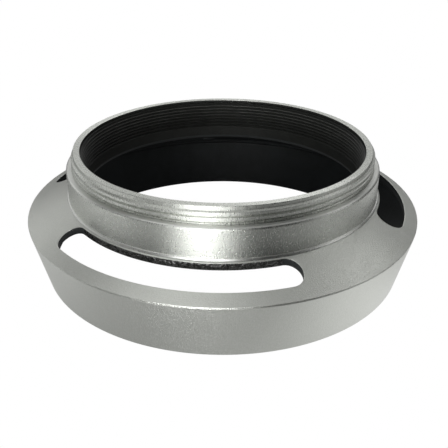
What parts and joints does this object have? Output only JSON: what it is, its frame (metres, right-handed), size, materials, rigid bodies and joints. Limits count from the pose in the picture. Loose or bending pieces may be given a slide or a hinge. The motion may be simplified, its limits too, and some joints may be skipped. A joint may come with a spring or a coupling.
{
  "type": "lens hood",
  "caption": "Low round lens hood for a vintage camera: screw-in mount ring, sloped flange with curved vents, and a tapered front skirt lined in black.",
  "frame": {"origin": "centre of the front rim, on the plane the hood stands on when it rests front side down", "axes": "+Z along the optical axis, from the front rim towards the lens; the mount ring's thread is at the +Z end; one vent is centred 13.2 degrees from +X towards +Y, the others 120 degrees either side of it"},
  "size_m": [0.0606, 0.0606, 0.0186],
  "materials": {
    "silver_mount": "bead-blasted and silver anodised, satin",
    "silver_flange": "bead-blasted and silver anodised, satin",
    "silver_skirt": "bead-blasted and silver anodised, satin",
    "black_bore": "black anodised, ridged against stray light",
    "black_skirt": "matt black",
    "black_acetal": "moulded black acetal",
    "spring_wire": "drawn spring wire",
    "spring_strip": "rolled spring strip"
  },
  "bodies": {
    "mount": {"mount_ring": "silver_mount", "snap_ring": "spring_wire"},
    "hood": {"vent_flange": "silver_flange", "bore_liner": "black_bore", "slip_washer": "black_acetal", "wave_washer": "spring_strip", "front_skirt": "silver_skirt", "skirt_liner": "black_skirt"}
  },
  "joints": [
    {"name": "hood_turn", "type": "hinge", "parent": "mount", "child": "hood", "pos_m": [0, 0, 0.0137], "axis": [0, 0, 1], "continuous": true}
  ]
}
